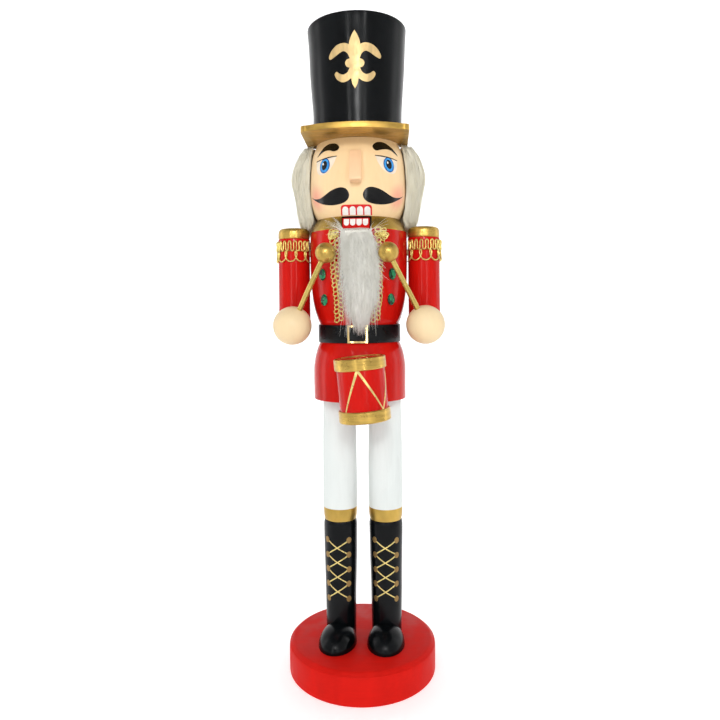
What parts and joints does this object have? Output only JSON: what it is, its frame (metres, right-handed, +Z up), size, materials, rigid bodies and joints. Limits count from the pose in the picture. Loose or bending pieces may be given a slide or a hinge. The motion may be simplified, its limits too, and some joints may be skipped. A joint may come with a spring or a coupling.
{
  "type": "nutcracker figure",
  "caption": "Standing wooden nutcracker drummer with a tall hat, fur hair and beard, a lever that opens the jaw, swinging arms with drumsticks, and a drum, on a round base.",
  "frame": {"origin": "centre of the round base's underside", "axes": "+Z up, the figure faces -Y, +X is the figure's left side"},
  "size_m": [0.1555, 0.1565, 0.6],
  "materials": {
    "red_paint": "gloss paint",
    "black_paint": "gloss paint",
    "white_paint": "gloss paint",
    "flesh_paint": "satin paint",
    "gold_paint": "metallic paint",
    "bare_wood": "unfinished",
    "steel": "bright",
    "fur": "long pile",
    "vinyl": "satin",
    "gold_foil": "polished",
    "gold_braid": "metallic thread",
    "green_stone": "faceted"
  },
  "bodies": {
    "figure": {"base": "red_paint", "tunic_skirt": "red_paint", "torso": "red_paint", "drum_shell": "red_paint", "hat": "black_paint", "head": "flesh_paint", "nose": "flesh_paint", "visor": "gold_paint", "drum_lower_hoop": "gold_paint", "drum_upper_hoop": "gold_paint", "waist_dowel": "bare_wood", "hat_dowel": "bare_wood", "drum_peg": "bare_wood", "lever_pin": "steel", "hair": "fur", "belt": "vinyl", "buckle": "gold_foil", "left_boot": "black_paint", "left_foot": "black_paint", "left_leg": "white_paint", "left_hip_dowel": "bare_wood", "left_neck_dowel": "bare_wood", "left_shoulder_peg": "bare_wood", "left_base_screw": "steel", "left_front_braid": "gold_braid", "left_upper_gem": "green_stone", "left_lower_gem": "green_stone", "right_boot": "black_paint", "right_foot": "black_paint", "right_leg": "white_paint", "right_hip_dowel": "bare_wood", "right_neck_dowel": "bare_wood", "right_shoulder_peg": "bare_wood", "right_base_screw": "steel", "right_front_braid": "gold_braid", "right_upper_gem": "green_stone", "right_lower_gem": "green_stone"},
    "jaw": {"jaw_lever": "red_paint", "lever_handle": "red_paint", "beard": "fur"},
    "left_arm": {"left_upper_arm": "red_paint", "left_forearm": "red_paint", "left_shoulder_cap": "gold_paint", "left_arm_braid": "gold_braid", "left_hand": "flesh_paint", "left_drumstick": "gold_paint", "left_drumstick_knob": "gold_paint"},
    "right_arm": {"right_upper_arm": "red_paint", "right_forearm": "red_paint", "right_shoulder_cap": "gold_paint", "right_arm_braid": "gold_braid", "right_hand": "flesh_paint", "right_drumstick": "gold_paint", "right_drumstick_knob": "gold_paint"}
  },
  "joints": [
    {"name": "jaw_hinge", "type": "hinge", "parent": "figure", "child": "jaw", "pos_m": [0, 0.004, 0.404], "axis": [1, 0, 0], "range_deg": [0, 18], "deforming": ["beard"]},
    {"name": "left_arm_swing", "type": "hinge", "parent": "figure", "child": "left_arm", "pos_m": [0.0615, 0, 0.39], "axis": [-1, 0, 0], "range_deg": [-10, 32]},
    {"name": "right_arm_swing", "type": "hinge", "parent": "figure", "child": "right_arm", "pos_m": [-0.0615, 0, 0.39], "axis": [-1, 0, 0], "range_deg": [-10, 32]}
  ]
}
